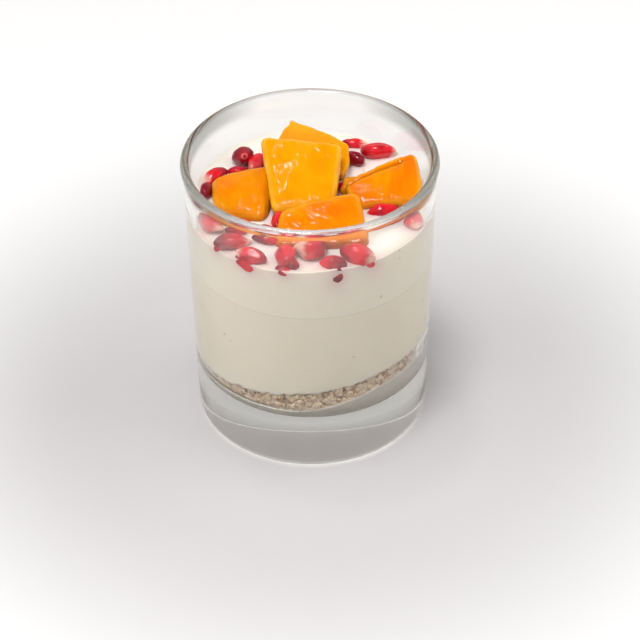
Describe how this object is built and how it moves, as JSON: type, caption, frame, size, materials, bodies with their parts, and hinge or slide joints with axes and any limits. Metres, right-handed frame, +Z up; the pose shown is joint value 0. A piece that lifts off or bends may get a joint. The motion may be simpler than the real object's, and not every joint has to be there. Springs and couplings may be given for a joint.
{
  "type": "yogurt parfait in a glass",
  "caption": "Yogurt parfait in a clear tumbler: a bed of oats, thick white yogurt, and peach pieces and pomegranate arils on top.",
  "frame": {"origin": "middle of the glass's foot, on the surface it stands on", "axes": "+Z up along the axis of the glass, -Y towards the side seen in the picture, +X to that side's right"},
  "size_m": [0.08, 0.08, 0.095],
  "materials": {
    "glass": "clear polished glass with a rounded lip and a thick base",
    "yogurt": "smooth moist creamy white yogurt",
    "oats": "rough pale beige oat flakes with browner bits",
    "peach": "wet translucent yellow-orange fruit flesh",
    "pomegranate": "glossy translucent crimson seed sacs with pale tips"
  },
  "bodies": {
    "root": {"glass": "glass", "yogurt": "yogurt", "oats": "oats", "peach_front": "peach", "peach_top": "peach", "peach_left": "peach", "peach_right": "peach", "peach_back": "peach", "peach_low": "peach", "aril_01": "pomegranate", "aril_02": "pomegranate", "aril_03": "pomegranate", "aril_04": "pomegranate", "aril_05": "pomegranate", "aril_06": "pomegranate", "aril_07": "pomegranate", "aril_08": "pomegranate", "aril_09": "pomegranate", "aril_10": "pomegranate", "aril_11": "pomegranate", "aril_12": "pomegranate", "aril_13": "pomegranate", "aril_14": "pomegranate", "aril_15": "pomegranate", "aril_16": "pomegranate", "aril_17": "pomegranate", "aril_18": "pomegranate", "aril_19": "pomegranate", "aril_20": "pomegranate", "aril_21": "pomegranate", "aril_22": "pomegranate", "aril_23": "pomegranate", "aril_24": "pomegranate", "aril_25": "pomegranate", "aril_26": "pomegranate", "aril_27": "pomegranate"}
  },
  "joints": []
}
